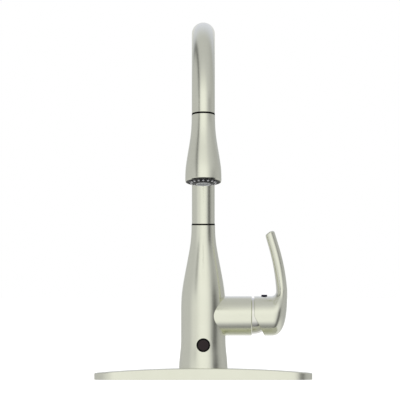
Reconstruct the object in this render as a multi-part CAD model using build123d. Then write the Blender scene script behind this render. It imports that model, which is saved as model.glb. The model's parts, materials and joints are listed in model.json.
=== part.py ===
from build123d import *
import os
from math import asin, cos, pi, radians, sin, sqrt, tan

# Touchless pull-down kitchen faucet on a deck plate.
# The origin is the centre of the deck plate's underside, on the counter. +Z is up, -Y is the front,
# where the spout hangs over the sink, and +X is the side of the handle.
# Lengths are in millimetres and angles in degrees.

# Fits
running_gap = 0.05  # radial, a part that turns in its bore
sliding_gap = 0.1  # a part that slides in its guide
moving_gap = 0.3  # free space between parts that move past each other
seat_gap = 0.15  # radial, a part that drops into its pocket
overrun = 1.0  # how far a cutting form stands past the faces that it opens

# Hexagon keys of the two set screws
key_radius = 1.4
key_depth = 2.0

# Deck plate, its tray and its gasket
plate_length = 257.6
plate_depth = 63.0
plate_corner = 25.0
plate_height = 13.4
plate_crown_radius = 1483.0
plate_wall = 2.0
plate_edge_radius = 1.2
plate_recess = 0.8
tray_floor = 2.0
tray_wall = 2.0
tray_boss_wall = 6.0
tray_rib_pitch = 22.0
plate_gasket_width = 4.0
plate_gasket_thickness = 1.0

# Body
foot_radius = 28.8
foot_lift = 0.3
foot_ring_height = 11.0
flare_height = 34.0
body_radius = 26.3
shoulder_height = 84.0
body_neck_radius = 13.9
body_top = 182.4
body_wall = 2.8
cavity_rise = 8.0
throat_gap = 3.0
spigot_end_gap = 1.0
body_gasket_width = 4.0
body_gasket_height = 1.8
# the taper from shoulder to neck: share of its height, share of the radius that is left
taper_shape = ((0.34, 0.735), (0.70, 0.2))

# Threaded shank under the counter
shank_radius = 16.5
shank_bore_radius = 14.5
shank_length = 57.0
shank_relief_depth = 0.5
shank_relief_length = 4.0
shank_relief_drop = 1.0
shank_hole_gap = 0.5

# Valve housing and the waterway in it
valve_height = 75.0
valve_radius = 23.2
valve_end = 57.35
valve_bevel = 0.9
pocket_floor = 35.5
waterway_block_drop = 15.0
waterway_block_rise = 13.0
socket_radius = 4.0
socket_depth = 12.0
socket_wall = 1.0
channel_radius = 2.5
port_offset = 8.0
# where the outlet and the two inlets come up through the shank
outlet_x = 1.2
outlet_y = 9.9
inlet_x = 8.9
inlet_front_y = -4.4
inlet_back_y = 4.6

# Ceramic cartridge
cartridge_radius = 17.5
cartridge_wall = 2.0
cartridge_base_height = 2.5
cartridge_height = 16.5
cartridge_shoulder = 1.5
neck_length = 11.0
neck_wall = 1.95
rotor_radius = 9.9
rotor_flange_height = 1.2
fixed_disc_height = 4.0
moving_disc_height = 3.5
moving_disc_radius = 12.8
mixing_width = 9.0
mixing_length = 14.0
carrier_height = 3.5
port_seal_width = 1.2
port_seal_height = 0.9
cartridge_nut_height = 4.0
thread_radius = 19.95
nut_notch = 3.0
lift_angle = 25.0

# Stem that joins the handle to the cartridge, with a round-nosed tongue that shifts the disc
pivot_x = 59.2
stem_side = 7.0
stem_arm = 10.8
stem_nose_radius = 2.4
stem_nose_width = 5.0
stem_shoulder = 3.2
stem_slot_gap = 1.9
stem_end = 89.0
stem_pin_radius = 1.5
stem_pin_length = 19.0

# Bonnet under the handle
bonnet_radius = 21.2
bonnet_wall = 1.5
bonnet_opening = 51.0

# Handle
handle_start = 60.2
handle_radius = 23.25
handle_dome_start = 80.0
handle_dome_length = 17.5
handle_cut_angle = 27.5
handle_gap = 0.55
handle_boss_radius = 7.0
handle_boss_start = 68.0
handle_screw_radius = 2.5
handle_screw_length = 4.5
lever_root_x = 91.9
lever_root_height = 30.0
lever_bend_radius = 150.0
lever_bend_angle = 18.6
lever_height = 101.0
lever_root_width = 12.1
lever_tip_width = 10.6
lever_root_depth = 24.0
lever_tip_depth = 13.0
# how steeply the depth falls above the root
lever_depth_fall = 4
lever_tip_angle = 40.7
lever_tip_drop = 2.0
lever_base_width = 18.0
lever_base_depth = 37.0
lever_base_bulge = 0.65
lever_base_rise = 9.0
lever_toe_width = 16.0
lever_toe_depth = 24.0
lever_toe_drop = 15.0
lever_toe_set_back = 5.1
lever_fillet = 6.0
# where along its height the lever's slices stand
lever_shares = (0, 0.15, 0.35, 0.65, 1)
indicator_x = 71.9
indicator_radius = 3.5
indicator_rise = 1.7
indicator_bevel = 0.5
indicator_stem_radius = 2.4
indicator_stem_length = 3.4

# Sensor eye
sensor_height = 40.8
sensor_front = 26.2
sensor_radius = 8.1
sensor_barrel_radius = 7.4
sensor_window_radius = 6.3
sensor_window_height = 2.0
sensor_window_recess = 0.4
sensor_lip = 0.7
sensor_bevel = 0.3
sensor_rim_height = 1.0
sensor_seal_height = 0.6
sensor_barrel_end = 12.5
sensor_pad_radius = 11.0
sensor_pad_back = 20.5
sensor_nut_radius = 10.5
sensor_nut_height = 3.0
sensor_board_height = 1.2
sensor_board_place = 17.0
sensor_led_radius = 1.5
sensor_led_pitch = 5.2
sensor_led_height = 4.0
sensor_led_bevel = 0.75
sensor_cap_height = 1.5
sensor_gland_radius = 2.5
sensor_gland_height = 2.0
sensor_gland_drop = 2.0

# Spout
tube_radius = 13.5
tube_wall = 1.5
bend_radius = 100.0
bend_height = 307.3
head_lean = 12.7
tip_run = 16.0
glide_height = 1.5
bush_wall = 1.2
spigot_radius = 10.95
spigot_wall = 2.75
spigot_length = 40.0
spigot_root = 16.0
seal_groove_depth = 1.2
seal_groove_width = 2.6
seal_pitch = 6.0
catch_groove_depth = 1.2
catch_groove_width = 6.0
catch_height = 160.0
catch_radius = 2.5
catch_head_rise = 0.5
dock_ring_height = 1.5
dock_ring_inset = 0.1
dock_length = 15.0

# Spray hose
hose_radius = 6.5
hose_bore_radius = 4.0
hose_joint_height = 141.0
hose_exit_x = -7.3
hose_exit_y = 0.8
hose_joint_run = 10.0
hose_bend_run = 33.0
hose_bend_radius = 70.0
ferrule_radius = 7.4
ferrule_length = 3.0

# Spray head, measured down its own axis from the end of the spout
head_length = 80.1
head_top_radius = 13.65
head_rim_radius = 21.2
head_bevel = 1.8
head_wall = 2.0
head_gap = 0.3
# the flare from neck to rim: share of its length, share of the growth in radius
# the rocker sits at the second place
head_shape = ((0.235, 0.085), (0.545, 0.53), (0.81, 0.93))
face_bore_radius = 19.0
nut_radius = 10.6
nut_length = 14.0
nut_cone = 4.0
nut_top_radius = 8.9
inlet_spigot_radius = 6.7
inlet_spigot_length = 11.0
core_radius = 9.4
core_bore_radius = 4.5
core_bore_depth = 26.0
core_flange_radius = 18.1
core_flange_height = 3.0
spray_port_x = 13.0
check_valve_start = 6.0
check_valve_length = 10.0
check_seat_radius = 2.0
check_disc_radius = 2.5
check_disc_height = 4.0
mat_depth = 7.1
mat_height = 2.0
water_chamber_height = 11.0
face_skirt_wall = 1.2
face_edge = 0.6
face_flat_width = 1.8
face_dome_rise = 3.0
# share of its rise that the dome has reached halfway in
face_dome_bulge = 0.72
nozzle_count = 16
nozzle_circle_radius = 14.4
nozzle_radius = 1.25
nozzle_sides = 8
nozzle_share = 0.62
nozzle_rise = 0.5
aerator_radius = 8.5
aerator_wall = 1.2
aerator_rise = 0.6
aerator_bevel = 0.3
screen_height = 1.0
screen_recess = 1.2

# Mode rocker on the back of the head, and the spool that it shifts
rocker_pin_inset = 2.6
rocker_pin_radius = 1.0
rocker_pin_length = 15.0
rocker_width = 11.0
rocker_length = 22.0
rocker_thickness = 3.0
rocker_rise = 1.2
rocker_slope = 9.3
rocker_swing = 9.0
rocker_gap = 0.5
rocker_arm_width = 3.0
rocker_arm_height = 2.4
rocker_corner = 2.5
rocker_hub_radius = 2.2
rocker_hub_inset = 1.5
spool_offset = 4.0
spool_radius = 3.0
spool_length = 18.0
spool_neck_radius = 1.6
spool_slot_height = 3.2

# Places that follow from the sizes above
seat_height = plate_height - plate_recess
foot_height = seat_height + foot_lift
foot_top = foot_height + foot_ring_height
shank_hole_radius = shank_radius + shank_hole_gap
shank_bottom = -shank_length
waterway_bottom = valve_height - waterway_block_drop
waterway_start = inlet_x + socket_radius + moving_gap
pocket_radius = cartridge_radius + seat_gap
cartridge_shoulder_x = pocket_floor + cartridge_height
cartridge_neck_end = cartridge_shoulder_x + neck_length
neck_bore_radius = rotor_radius + running_gap
neck_radius = neck_bore_radius + neck_wall
fixed_disc_start = pocket_floor + cartridge_base_height
moving_disc_start = fixed_disc_start + fixed_disc_height
carrier_start = moving_disc_start + moving_disc_height
rotor_start = carrier_start + carrier_height + 2 * sliding_gap
bonnet_start = pocket_floor + cartridge_height + cartridge_nut_height
disc_travel = stem_arm * sin(radians(lift_angle))
nose_x = pivot_x - stem_arm
bush_radius = spigot_radius + running_gap
neck_hole_radius = bush_radius + bush_wall
spout_bottom = body_top + glide_height + running_gap
spigot_bottom = spout_bottom - spigot_length
tube_bore_radius = tube_radius - tube_wall
dock_bore_radius = nut_radius + sliding_gap
bend_end_y = -bend_radius * (1 + cos(radians(head_lean)))
bend_end_z = bend_height + bend_radius * sin(radians(head_lean))
leg_length = tip_run + dock_ring_height
seam_y = bend_end_y - leg_length * sin(radians(head_lean))
seam_z = bend_end_z - leg_length * cos(radians(head_lean))
head_side_length = head_length - head_bevel - head_gap
mat_start = head_length - mat_depth
face_bore_start = mat_start - water_chamber_height
core_flange_start = face_bore_start - core_flange_height
rocker_along, rocker_grown = head_shape[1]
rocker_place = head_gap + rocker_along * head_side_length
rocker_pin_y = rocker_pin_inset - head_top_radius - rocker_grown * (head_rim_radius - head_top_radius)
rocker_tip_radius = spool_slot_height / 2 - sliding_gap
rocker_tip_y = -(spool_offset + spool_neck_radius + sliding_gap + rocker_tip_radius)
spool_travel = 2 * (rocker_tip_y - rocker_pin_y) * sin(radians(rocker_swing))

# Frames: along +X through the valve, out to the front through the sensor, down the axis of the spray head
valve_frame = Location((0, 0, valve_height), (0, 90, 0))
sensor_frame = Location((0, 0, sensor_height), (90, 0, 0))
head_frame = Location((0, seam_y, seam_z), (180 - head_lean, 0, 0))


# A cylinder on the Z axis, from one height to another
def rod(radius, start, end):
    return Pos(0, 0, start) * Cylinder(radius, end - start, align=(Align.CENTER, Align.CENTER, Align.MIN))


# A tube on the Z axis
def ring(outer, inner, start, end):
    return rod(outer, start, end) - rod(inner, start - overrun, end + overrun)


# A solid of revolution about Z, from joined lines and curves drawn as (radius, height)
def turned(*outline):
    return revolve(Plane.XZ * make_face(Curve() + list(outline)), Axis.Z)


# Deck plate: a slab with rounded corners whose top bulges gently from end to end
def crowned_slab(inset, drop):
    reach = plate_length
    radius = plate_crown_radius - drop
    top = plate_height - drop
    end = top - radius + sqrt(radius**2 - reach**2)
    walls = Polyline((reach, end), (reach, -reach), (-reach, -reach), (-reach, end))
    crown = ThreePointArc((-reach, end), (0, top), (reach, end))
    under_crown = extrude(Plane.XZ * make_face(Curve() + [walls, crown]), plate_depth, both=True)
    outline = RectangleRounded(plate_length - 2 * inset, plate_depth - 2 * inset, plate_corner - inset)
    return extrude(outline, plate_height) & under_crown


def deck_plate():
    slab = crowned_slab(0, 0)
    slab = fillet(slab.faces().sort_by(Axis.Z)[-1].edges(), plate_edge_radius)
    slab -= crowned_slab(plate_wall, plate_wall)
    slab -= rod(foot_radius + moving_gap, seat_height, plate_height + overrun)
    return slab - rod(shank_hole_radius, -overrun, plate_height)


def plate_band(inset, width, height):
    outer = RectangleRounded(plate_length - 2 * inset, plate_depth - 2 * inset, plate_corner - inset)
    inset += width
    inner = RectangleRounded(plate_length - 2 * inset, plate_depth - 2 * inset, plate_corner - inset)
    return extrude(outer - inner, height)


def plate_tray():
    inset = plate_wall + seat_gap
    tray = crowned_slab(inset, inset)
    cells = tray - plate_band(inset, tray_wall, plate_height)
    cells &= Pos(0, 0, plate_height / 2 + tray_floor) * Box(plate_length, plate_depth, plate_height)
    cells -= rod(shank_hole_radius + tray_boss_wall, 0, plate_height)
    count = int((plate_length / 2 - inset) / tray_rib_pitch)
    for index in range(-count, count + 1):
        cells -= Pos(index * tray_rib_pitch, 0, 0) * Box(tray_wall, plate_depth, 2 * plate_height)
    tray -= cells
    tray -= plate_band(inset, plate_gasket_width, plate_gasket_thickness)
    return tray - rod(shank_hole_radius, -overrun, plate_height)


def plate_gasket():
    return plate_band(plate_wall + seat_gap, plate_gasket_width, plate_gasket_thickness)


# Body: a bottle on a flared foot, with the valve housing crossing it
def body_outside():
    foot_curve = Spline(
        (foot_radius, foot_height),
        (body_radius, foot_height + flare_height),
        tangents=[(0, 1), (0, 1)],
    )
    wall = Line((body_radius, foot_height + flare_height), (body_radius, shoulder_height))
    taper = [(body_radius, shoulder_height)]
    for rise, left in taper_shape:
        radius = body_neck_radius + left * (body_radius - body_neck_radius)
        taper.append((radius, shoulder_height + rise * (body_top - shoulder_height)))
    taper.append((body_neck_radius, body_top))
    taper_curve = Spline(*taper, tangents=[(0, 1), (0, 1)])
    axis = Polyline((body_neck_radius, body_top), (0, body_top), (0, foot_height), (foot_radius, foot_height))
    return turned(foot_curve, wall, taper_curve, axis)


def body_inside():
    cavity_radius = body_radius - body_wall
    throat_radius = hose_radius + throat_gap
    ledge = spigot_bottom - spigot_end_gap
    chamber_top = ledge - body_wall
    chamber = Polyline(
        (0, foot_top),
        (cavity_radius, foot_top),
        (cavity_radius, shoulder_height + cavity_rise),
        (body_neck_radius, chamber_top),
        (throat_radius, chamber_top),
        (throat_radius, ledge),
        (neck_hole_radius, ledge),
        (neck_hole_radius, body_top + overrun),
        (0, body_top + overrun),
        (0, foot_top),
    )
    return turned(chamber)


def body_shell():
    housing = chamfer(rod(valve_radius, 0, valve_end).faces().sort_by(Axis.Z)[-1].edges(), valve_bevel)
    shell = body_outside() + valve_frame * housing
    shell -= body_inside()
    shell += sensor_frame * rod(sensor_pad_radius, sensor_pad_back, body_radius) & body_outside()
    shell -= rod(shank_radius + running_gap, 0, foot_top + overrun)
    shell -= ring(*body_gasket_radii(), 0, foot_height - foot_lift + body_gasket_height)
    shell -= valve_frame * rod(pocket_radius, 0, cartridge_shoulder_x)
    shell -= valve_frame * rod(thread_radius + running_gap, cartridge_shoulder_x, valve_end + overrun)
    rim_floor = sensor_front - sensor_rim_height - sensor_seal_height
    shell -= sensor_frame * rod(sensor_radius + seat_gap, rim_floor, foot_radius + overrun)
    barrel_bore = sensor_barrel_radius + seat_gap
    shell -= sensor_frame * rod(barrel_bore, sensor_pad_back - overrun, foot_radius + overrun)
    return shell - catch_axis() * rod(catch_radius, bush_radius, foot_radius)


def body_gasket_radii():
    middle = (foot_radius + shank_radius) / 2
    return middle + body_gasket_width / 2, middle - body_gasket_width / 2


def body_gasket():
    return ring(*body_gasket_radii(), seat_height, foot_height - foot_lift + body_gasket_height)


def mounting_shank():
    shank = ring(shank_radius, shank_bore_radius, shank_bottom, foot_top)
    relief_top = shank_relief_length - shank_relief_drop
    relief_radius = shank_radius - shank_relief_depth
    return shank - ring(shank_radius + overrun, relief_radius, -shank_relief_drop, relief_top)


# Waterway: a brass block with three sockets underneath, each drilled up and then across to the cartridge
def socket_places():
    return (
        (outlet_x, outlet_y, 0),
        (inlet_x, inlet_back_y, port_offset),
        (inlet_x, inlet_front_y, -port_offset),
    )


def valve_body():
    rims = [Pos(x, y) * Circle(socket_radius + socket_wall) for x, y, rise in socket_places()]
    block = extrude(make_hull((Sketch() + rims).edges()), waterway_block_drop + waterway_block_rise)
    block = Pos(0, 0, waterway_bottom) * block
    block += valve_frame * rod(cartridge_radius, waterway_start, pocket_floor)
    for x, y, rise in socket_places():
        block -= Pos(x, y, 0) * rod(socket_radius, waterway_bottom - overrun, waterway_bottom + socket_depth)
        block -= Pos(x, y, 0) * rod(channel_radius, waterway_bottom, valve_height + rise + channel_radius)
        across = Pos(0, y, valve_height + rise) * Rot(0, 90, 0)
        block -= across * rod(channel_radius, x, pocket_floor + overrun)
    return block


def port_holes(radius, start, end):
    holes = Part()
    for x, y, rise in socket_places():
        holes += Pos(-rise, y, 0) * rod(radius, start, end)
    return holes


# Cartridge, built along the axis of the valve
def port_seals():
    outer = channel_radius + seat_gap + port_seal_width
    end = pocket_floor + port_seal_height
    rings = port_holes(outer, pocket_floor, end) - port_holes(channel_radius + seat_gap, pocket_floor, end)
    return valve_frame * rings


def cartridge_base():
    base = rod(cartridge_radius, pocket_floor, fixed_disc_start)
    base -= port_holes(channel_radius, pocket_floor - overrun, fixed_disc_start + overrun)
    return valve_frame * base - port_seals()


def fixed_disc():
    disc = rod(cartridge_radius - cartridge_wall - seat_gap, fixed_disc_start, moving_disc_start)
    disc -= port_holes(channel_radius, fixed_disc_start - overrun, moving_disc_start + overrun)
    return valve_frame * disc


def cartridge_housing():
    outer = rod(cartridge_radius, fixed_disc_start, cartridge_shoulder_x)
    outer += rod(neck_radius, cartridge_shoulder_x - overrun, cartridge_neck_end)
    inside = cartridge_radius - cartridge_wall
    outer -= rod(inside, fixed_disc_start - overrun, cartridge_shoulder_x - cartridge_shoulder)
    return valve_frame * (outer - rod(neck_bore_radius, fixed_disc_start, cartridge_neck_end + overrun))


# The stem swings upwards inside the rotor, so its slot reaches further up than down
def stem_slot(start, end):
    width = stem_side + 2 * sliding_gap
    up = disc_travel + stem_nose_radius + stem_slot_gap
    down = stem_side / 2 + stem_slot_gap
    return Pos((down - up) / 2, 0, (start + end) / 2) * Box(up + down, width, end - start)


def cartridge_rotor():
    flange_radius = cartridge_radius - cartridge_wall - moving_gap
    rotor = rod(flange_radius, rotor_start, rotor_start + rotor_flange_height)
    rotor += rod(rotor_radius, rotor_start, cartridge_neck_end - 2 * moving_gap)
    rotor -= stem_slot(rotor_start - overrun, cartridge_neck_end + overrun)
    rotor = valve_frame * rotor
    return rotor - pin_axis() * rod(stem_pin_radius, -rotor_radius, rotor_radius)


def pin_axis():
    return Pos(pivot_x, 0, valve_height) * Rot(90, 0, 0)


def stem_pin():
    return pin_axis() * rod(stem_pin_radius, -stem_pin_length / 2, stem_pin_length / 2)


def cartridge_stem():
    thin = 1.4 * stem_nose_radius
    thick_start = pivot_x - stem_shoulder
    stem = Pos(0, 0, nose_x) * Rot(90, 0, 0) * Cylinder(stem_nose_radius, stem_nose_width)
    stem += Pos(0, 0, (nose_x + thick_start) / 2) * Box(thin, stem_nose_width, thick_start - nose_x + 0.2)
    stem += Pos(0, 0, (thick_start + stem_end) / 2) * Box(stem_side, stem_side, stem_end - thick_start)
    stem = valve_frame * stem
    return stem - pin_axis() * rod(stem_pin_radius + running_gap, -stem_side, stem_side)


# The moving disc starts half its travel below the axis and ends half above it
def moving_disc():
    disc = rod(moving_disc_radius, moving_disc_start, carrier_start)
    mixing = Pos(0, 0, moving_disc_start) * Box(mixing_width, mixing_length, moving_disc_height)
    return valve_frame * Pos(disc_travel / 2, 0, 0) * (disc - mixing)


def disc_carrier():
    end = carrier_start + carrier_height
    carrier = Pos(disc_travel / 2, 0, 0) * rod(moving_disc_radius, carrier_start, end)
    gap = 2 * sliding_gap
    depth = end - nose_x + stem_nose_radius + gap
    pocket = Box(2 * (stem_nose_radius + gap), stem_nose_width + 2 * gap, 2 * depth)
    return valve_frame * (carrier - Pos(0, 0, end) * pocket)


def cartridge_nut():
    nut = ring(thread_radius, neck_radius + seat_gap, cartridge_shoulder_x, bonnet_start)
    for angle in (0, 90, 180, 270):
        notch = Pos(thread_radius - nut_notch, 0, bonnet_start) * Box(nut_notch, nut_notch, nut_notch)
        nut -= Rot(0, 0, angle) * notch
    return valve_frame * nut


def bonnet():
    skirt_bore = thread_radius - bonnet_wall
    skirt = ring(thread_radius, skirt_bore, bonnet_start, valve_end + bonnet_wall)
    centre = Pos(0, 0, pivot_x)
    dome = centre * Sphere(bonnet_radius) - centre * Sphere(bonnet_radius - bonnet_wall)
    opening = pivot_x + bonnet_radius * cos(radians(bonnet_opening))
    dome &= rod(bonnet_radius + overrun, valve_end, opening)
    return valve_frame * (dome + skirt)


# Handle: a round cap over the bonnet, cut on a slant below so that it can tip outwards, and a bowed lever
def handle_cap():
    outline = Polyline((0, handle_start), (handle_radius, handle_start), (handle_radius, handle_dome_start))
    dome = EllipticalCenterArc((0, handle_dome_start), handle_radius, handle_dome_length, arc_size=90)
    axis = Line((0, handle_dome_start + handle_dome_length), (0, handle_start))
    cap = valve_frame * turned(outline, dome, axis)
    reach = 2 * handle_radius
    wedge = Polygon(
        (handle_start, valve_height),
        (handle_start, valve_height - reach),
        (handle_start + reach * tan(radians(handle_cut_angle)), valve_height - reach),
        align=None,
    )
    return cap - extrude(Plane.XZ * wedge, reach, both=True)


# A slice of the lever at a share of its height. The middle follows an arc that leans over the cap,
# then a straight line
def lever_slice(share):
    rise = share * (lever_height - lever_root_height)
    bent = min(rise, lever_bend_radius * sin(radians(lever_bend_angle)))
    lean = asin(bent / lever_bend_radius)
    shift = lever_bend_radius * (1 - cos(lean)) + (rise - bent) * tan(lean)
    width = lever_root_width + share * (lever_tip_width - lever_root_width)
    depth = lever_tip_depth + (lever_root_depth - lever_tip_depth) * (1 - share) ** lever_depth_fall
    middle = (lever_root_x - shift, 0, valve_height + lever_root_height + rise)
    across = (cos(lean), 0, sin(lean))
    along = (-sin(lean), 0, cos(lean))
    return Plane(middle, x_dir=across, z_dir=along) * Ellipse(width / 2, depth / 2)


# The lever flows out of the cap: a toe inside the dome, then a base nearly as deep as the cap, and its top
# is cut on a slant
def lever():
    base_x = lever_root_x + (lever_root_width - lever_base_width) / 2 + lever_base_bulge
    toe = Ellipse(lever_toe_width / 2, lever_toe_depth / 2)
    toe = Pos(base_x - lever_toe_set_back, 0, valve_height - lever_toe_drop) * toe
    base = Ellipse(lever_base_width / 2, lever_base_depth / 2)
    base = Pos(base_x, 0, valve_height + lever_base_rise) * base
    blade = loft([toe, base] + [lever_slice(share) for share in lever_shares])
    top = lever_slice(1).faces()[0].center()
    tip = Pos(top.X, 0, valve_height + lever_height - lever_tip_drop) * Rot(0, -lever_tip_angle, 0)
    size = 2 * lever_root_depth
    return blade - tip * Pos(0, 0, size / 2) * Box(size, size, size)


def handle_lever():
    handle = handle_cap() + lever()
    root_top = valve_height + lever_root_height
    curved = handle.edges().filter_by(GeomType.BSPLINE)
    joint = [edge for edge in curved if edge.center().Z < root_top]
    handle = fillet(joint, lever_fillet)
    handle -= Pos(pivot_x, 0, valve_height) * Sphere(bonnet_radius + handle_gap)
    boss_end = handle_dome_start + handle_dome_length / 2
    handle += valve_frame * rod(handle_boss_radius, handle_boss_start, boss_end)
    depth = stem_end + seat_gap - pivot_x
    handle -= valve_frame * Pos(0, 0, pivot_x + depth / 2) * Box(stem_side, stem_side, depth)
    drill = rod(handle_screw_radius, stem_side / 2 - overrun, handle_boss_radius + overrun)
    drill += rod(indicator_stem_radius, handle_boss_radius, 2 * handle_radius)
    return handle - screw_axis() * drill


def screw_axis():
    return Pos(indicator_x, 0, valve_height)


# The set screw is driven through the hole that the indicator plug then covers
def handle_screw():
    start = stem_side / 2
    screw = rod(handle_screw_radius, start, start + handle_screw_length)
    key = Pos(0, 0, start + handle_screw_length) * extrude(RegularPolygon(key_radius, 6), -key_depth)
    return screw_axis() * (screw - key)


def indicator_plug():
    top = valve_height + handle_radius
    plug = rod(indicator_stem_radius, top - indicator_stem_length, top)
    button = rod(indicator_radius, top, top + indicator_rise)
    button = chamfer(button.faces().sort_by(Axis.Z)[-1].edges(), indicator_bevel)
    return Pos(indicator_x, 0, 0) * (plug + button)


def indicator_half(side):
    size = 4 * indicator_radius
    half = Pos(indicator_x, side * size / 2, valve_height + handle_radius) * Box(size, size, 4 * size)
    return indicator_plug() & half


# Sensor eye: a black barrel through the front of the body, held by a nut from inside
def sensor_bezel():
    rim_floor = sensor_front - sensor_rim_height
    bezel = rod(sensor_radius, rim_floor, sensor_front)
    bezel = chamfer(bezel.faces().sort_by(Axis.Z)[-1].edges(), sensor_bevel)
    bezel += rod(sensor_barrel_radius, sensor_barrel_end, rim_floor)
    glass_floor = sensor_front - sensor_window_recess - sensor_window_height
    bezel -= rod(sensor_window_radius, glass_floor, sensor_front + overrun)
    bezel -= rod(sensor_window_radius - sensor_lip, sensor_barrel_end - overrun, sensor_front)
    return sensor_frame * bezel


def sensor_window():
    front = sensor_front - sensor_window_recess
    return sensor_frame * rod(sensor_window_radius, front - sensor_window_height, front)


def sensor_seal():
    top = sensor_front - sensor_rim_height
    return sensor_frame * ring(sensor_radius, sensor_barrel_radius, top - sensor_seal_height, top)


def sensor_nut():
    start = sensor_pad_back - sensor_nut_height
    hexagon = extrude(RegularPolygon(sensor_nut_radius, 6), sensor_nut_height)
    nut = Pos(0, 0, start) * hexagon - rod(sensor_barrel_radius, start - overrun, sensor_pad_back + overrun)
    return sensor_frame * nut


def sensor_board():
    radius = sensor_window_radius - sensor_lip
    return sensor_frame * rod(radius, sensor_board_place - sensor_board_height, sensor_board_place)


def sensor_leds():
    leds = []
    for side in (-1, 1):
        lamp = rod(sensor_led_radius, sensor_board_place, sensor_board_place + sensor_led_height)
        lamp = chamfer(lamp.faces().sort_by(Axis.Z)[-1].edges(), sensor_led_bevel)
        leds.append(sensor_frame * Pos(side * sensor_led_pitch / 2, 0, 0) * lamp)
    return Compound(leds)


def sensor_cap():
    back = sensor_barrel_end - sensor_cap_height
    cap = rod(sensor_barrel_radius, back, sensor_barrel_end)
    cap += Pos(0, -sensor_gland_drop, 0) * rod(sensor_gland_radius, back - sensor_gland_height, back)
    return sensor_frame * cap


# Spout: a tube up, over and down towards the front
def spout_route(start, stop):
    down = Vector(0, -sin(radians(head_lean)), -cos(radians(head_lean)))
    bend_end = Vector(0, bend_end_y, bend_end_z)
    riser = Line((0, 0, start), (0, 0, bend_height))
    bend = Plane.YZ * CenterArc((-bend_radius, bend_height), bend_radius, 0, 180 - head_lean)
    leg = Line(bend_end, bend_end + down * stop)
    return Curve() + [riser, bend, leg]


def piped(radius, route, start):
    return sweep(Pos(0, 0, start) * Circle(radius), path=route)


def spout_tube():
    route = spout_route(spout_bottom, tip_run)
    return piped(tube_radius, route, spout_bottom) - piped(tube_bore_radius, route, spout_bottom)


def spout_spigot():
    bore = spigot_radius - spigot_wall
    spigot = rod(spigot_radius, spigot_bottom, spout_bottom)
    spigot += rod(tube_bore_radius, spout_bottom, spout_bottom + spigot_root)
    spigot -= rod(bore, spigot_bottom - overrun, spout_bottom + spigot_root + overrun)
    for middle in seal_heights():
        spigot -= seal_band(middle, seal_groove_width)
    catch = (catch_height - catch_groove_width / 2, catch_height + catch_groove_width / 2)
    return spigot - ring(spigot_radius + overrun, spigot_radius - catch_groove_depth, *catch)


def seal_heights():
    return body_top - seal_pitch, body_top - 2 * seal_pitch


def seal_band(middle, width):
    inner = spigot_radius - seal_groove_depth
    return ring(spigot_radius + running_gap / 2, inner, middle - width / 2, middle + width / 2)


def spout_seals():
    return Compound([seal_band(middle, seal_groove_width - 2 * sliding_gap) for middle in seal_heights()])


def swivel_bush():
    bush = ring(neck_hole_radius, bush_radius, spigot_bottom - spigot_end_gap, body_top)
    return bush - catch_axis() * rod(catch_radius, 0, foot_radius)


def glide_ring():
    return ring(tube_radius, bush_radius, body_top, body_top + glide_height)


def catch_axis():
    return Pos(0, 0, catch_height) * Rot(-90, 0, 0)


# The screw whose nose runs in the groove of the spigot and keeps the spout from lifting out
def catch_screw():
    nose = spigot_radius - catch_groove_depth + moving_gap
    head = body_neck_radius + catch_head_rise
    screw = rod(catch_radius - moving_gap, nose, neck_hole_radius) + rod(catch_radius, neck_hole_radius, head)
    key = Pos(0, 0, head) * extrude(RegularPolygon(key_radius, 6), -key_depth)
    return catch_axis() * (screw - key)


def dock_sleeve():
    sleeve = ring(tube_bore_radius, dock_bore_radius, -dock_length, -dock_ring_height)
    sleeve += ring(tube_radius - dock_ring_inset, dock_bore_radius, -dock_ring_height, 0)
    return head_frame * sleeve


def spray_hose():
    return piped(hose_radius, spout_route(hose_joint_height, leg_length - nut_length), hose_joint_height)


# Hoses are plain rods here; the lower one leaves the middle of the neck and passes down beside the waterway
def lower_hose():
    route = FilletPolyline(
        (0, 0, hose_joint_height),
        (0, 0, hose_joint_height - hose_joint_run),
        (hose_exit_x, hose_exit_y, hose_joint_height - hose_joint_run - hose_bend_run),
        (hose_exit_x, hose_exit_y, shank_bottom),
        radius=hose_bend_radius,
    )
    start = Location((0, 0, hose_joint_height), (180, 0, 0))
    hose = sweep(start * Circle(hose_radius), path=route)
    ratio = hose.volume / (pi * hose_radius**2 * route.length)
    print("hose bends", bend_radius, hose_bend_radius, "volume ratio", ratio)
    return hose


# Spray head
def head_outline(inset):
    points = [(head_top_radius - inset, head_gap)]
    for along, grown in head_shape:
        radius = head_top_radius + grown * (head_rim_radius - head_top_radius)
        points.append((radius - inset, head_gap + along * head_side_length))
    points.append((head_rim_radius - inset, head_gap + head_side_length))
    return Spline(*points, tangents=[(0, 1), (0, 1)])


def head_solid(inset, rim_radius, top):
    side = head_outline(inset)
    end = side @ 1
    return turned(
        side,
        Polyline((end.X, end.Y), (rim_radius, head_length), (0, head_length), (0, head_gap), (side @ 0)),
    ) & rod(head_rim_radius + overrun, top, head_length)


def rocker_axis():
    return Pos(0, rocker_pin_y, rocker_place)


# The drum that the rocker's round ends sweep
def rocker_sweep(gap):
    return Rot(0, 90, 0) * Cylinder(rocker_length / 2 + gap, rocker_width + 2 * gap)


def spray_shell():
    shell = head_solid(0, head_rim_radius - head_bevel / 3, head_gap)
    inside = head_solid(head_wall, face_bore_radius, head_gap + head_wall)
    shell -= inside & rod(face_bore_radius, 0, face_bore_start)
    shell -= rod(face_bore_radius, face_bore_start, head_length + overrun)
    shell -= rod(inlet_spigot_radius + seat_gap, -overrun, head_gap + head_wall + overrun)
    shell -= rocker_axis() * rocker_sweep(rocker_gap)
    return head_frame * shell - rocker_pin()


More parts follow.
